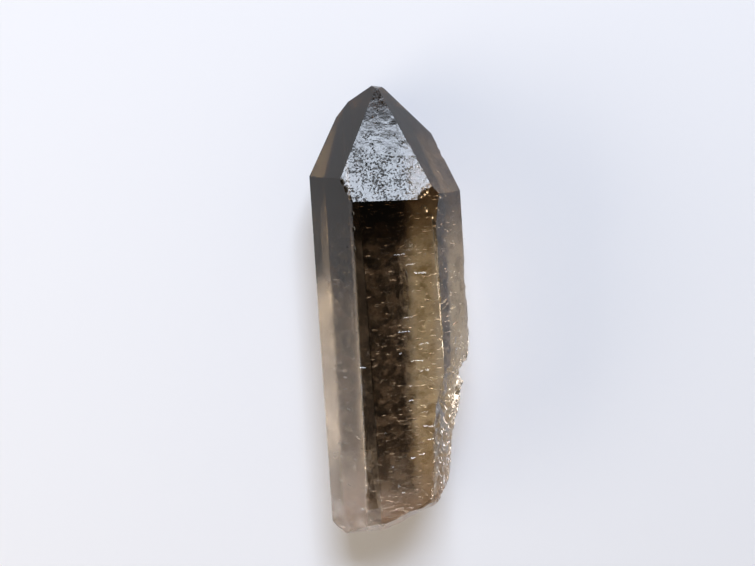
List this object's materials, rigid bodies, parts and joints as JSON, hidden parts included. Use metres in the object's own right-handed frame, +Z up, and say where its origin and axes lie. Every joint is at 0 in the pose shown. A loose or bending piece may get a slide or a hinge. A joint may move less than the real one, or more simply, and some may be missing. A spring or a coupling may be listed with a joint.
{
  "type": "smoky quartz crystal",
  "caption": "Single six-sided smoky quartz point lying on a prism face, with a pitted bright tip face, a hackly broken flank and a broken foot; a display or specimen stone.",
  "frame": {"origin": "on the resting surface, under the middle of the crystal's box", "axes": "+Y along the crystal to its tip, +Z up from the resting face, +X to the right seen from above with the tip away"},
  "size_m": [0.02, 0.0618, 0.015],
  "materials": {
    "smoky_quartz": "vitreous, see-through brown"
  },
  "bodies": {
    "root": {"crystal": "smoky_quartz"}
  },
  "joints": []
}
